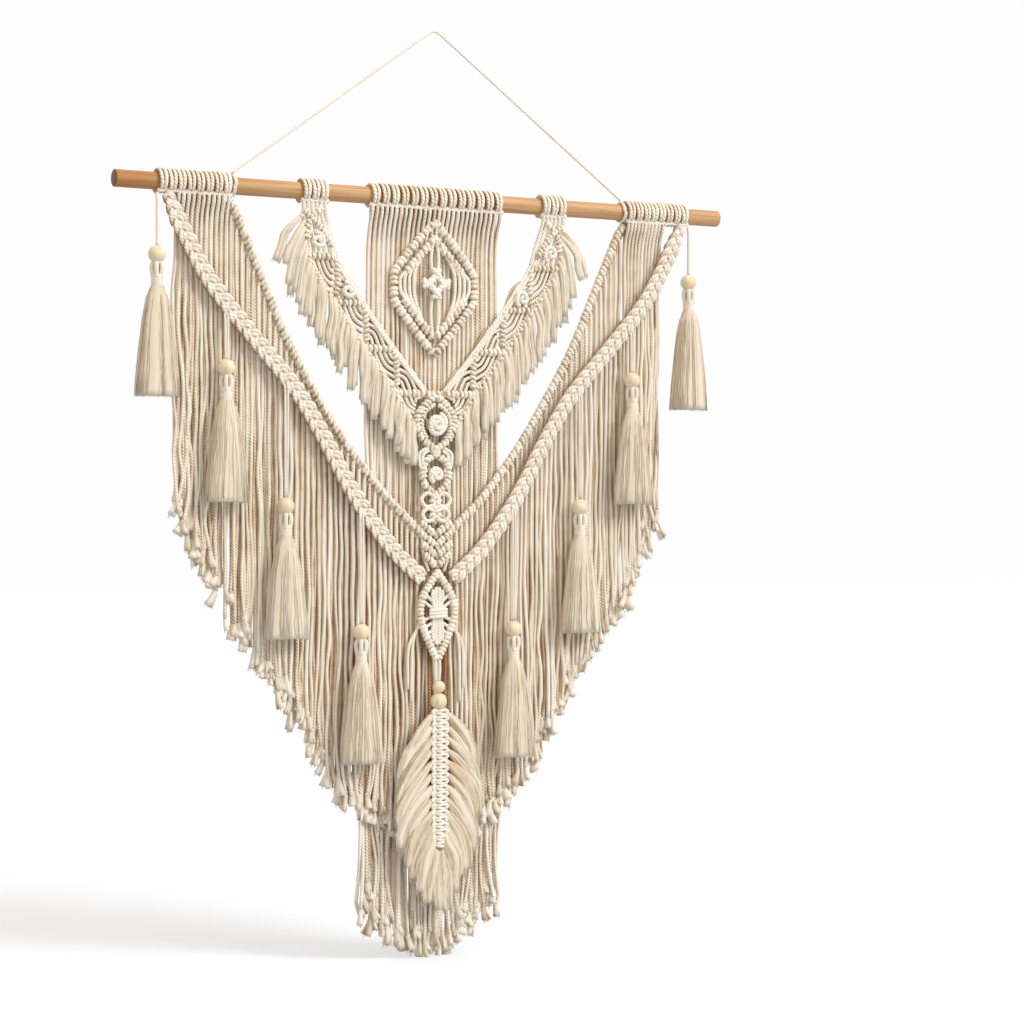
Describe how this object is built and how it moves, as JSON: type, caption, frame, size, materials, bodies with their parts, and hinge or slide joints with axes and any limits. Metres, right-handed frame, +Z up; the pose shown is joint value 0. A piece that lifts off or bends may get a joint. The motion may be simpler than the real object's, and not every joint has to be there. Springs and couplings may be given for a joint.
{
  "type": "macrame wall hanging with wooden rod",
  "caption": "Cotton macrame wall hanging on a round wooden dowel, with knotted diamond, braids, fringed garland, tassels, wooden beads and a feather, hung by a thin cord.",
  "frame": {"origin": "top of the hanging cord, where a nail or hook carries it", "axes": "+Z up, +X along the dowel to the viewer's right, -Y towards the room"},
  "size_m": [0.8, 0.0457, 1.093],
  "materials": {
    "cotton_cord": "matt twisted cotton cord",
    "brushed_cotton": "matt combed-out cotton strands",
    "dowel_wood": "satin sanded wood",
    "bead_wood": "satin pale wood"
  },
  "bodies": {
    "root": {"dowel": "dowel_wood", "hanging_cord": "cotton_cord", "centre_panel": "cotton_cord", "centre_column": "cotton_cord", "pendant": "cotton_cord", "feather": "brushed_cotton", "feather_bead_small": "bead_wood", "feather_bead_large": "bead_wood", "left_tie": "cotton_cord", "left_wing": "cotton_cord", "left_braid": "cotton_cord", "left_garland": "cotton_cord", "left_garland_fringe": "brushed_cotton", "left_tassel_1": "brushed_cotton", "left_bead_1": "bead_wood", "left_tassel_2": "brushed_cotton", "left_bead_2": "bead_wood", "left_tassel_3": "brushed_cotton", "left_bead_3": "bead_wood", "left_tassel_4": "brushed_cotton", "left_bead_4": "bead_wood", "right_tie": "cotton_cord", "right_wing": "cotton_cord", "right_braid": "cotton_cord", "right_garland": "cotton_cord", "right_garland_fringe": "brushed_cotton", "right_tassel_1": "brushed_cotton", "right_bead_1": "bead_wood", "right_tassel_2": "brushed_cotton", "right_bead_2": "bead_wood", "right_tassel_3": "brushed_cotton", "right_bead_3": "bead_wood", "right_tassel_4": "brushed_cotton", "right_bead_4": "bead_wood"}
  },
  "joints": []
}
